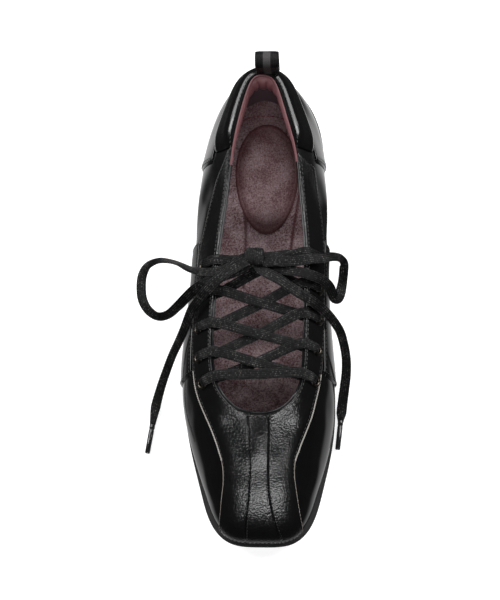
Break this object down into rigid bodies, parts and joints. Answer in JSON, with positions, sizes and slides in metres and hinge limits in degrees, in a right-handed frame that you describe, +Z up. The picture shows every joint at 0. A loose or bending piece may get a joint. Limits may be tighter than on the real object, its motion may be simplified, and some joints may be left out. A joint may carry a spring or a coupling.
{
  "type": "lace-up sneaker",
  "caption": "Low square-toed lace-up leather shoe for a right foot, with an open throat, a padded collar, a webbing pull loop, a burgundy footbed and a flat lace tied in a bow.",
  "frame": {"origin": "middle of the shoe's length and width without its bow, on the floor", "axes": "+Z up, -Y towards the toe, +X towards the inner side of the foot"},
  "size_m": [0.1124, 0.2581, 0.0896],
  "materials": {
    "leather": "glossy, fine grain",
    "rubber": "matte",
    "footbed": "heathered cloth",
    "webbing": "woven",
    "lace": "flat woven",
    "eyelet": "dark enamel, satin",
    "aglet": "glossy"
  },
  "bodies": {
    "root": {"outsole": "rubber", "insole": "footbed", "heel_pad": "footbed", "upper": "leather", "vamp_panel": "leather", "saddle_lateral": "leather", "saddle_medial": "leather", "heel_counter": "leather", "heel_collar": "leather", "pull_loop": "webbing", "eyelet_lateral_1": "eyelet", "eyelet_lateral_2": "eyelet", "eyelet_lateral_3": "eyelet", "eyelet_lateral_4": "eyelet", "eyelet_lateral_5": "eyelet", "eyelet_medial_1": "eyelet", "eyelet_medial_2": "eyelet", "eyelet_medial_3": "eyelet", "eyelet_medial_4": "eyelet", "eyelet_medial_5": "eyelet", "lace_bar_toe": "lace", "lace_cross_1": "lace", "lace_cross_2": "lace", "lace_cross_3": "lace", "lace_cross_4": "lace", "lace_bar_knot": "lace", "lace_knot": "lace", "lace_loop_lateral": "lace", "lace_loop_medial": "lace", "lace_end_lateral": "lace", "lace_end_medial": "lace", "aglet_lateral": "aglet", "aglet_medial": "aglet"}
  },
  "joints": []
}
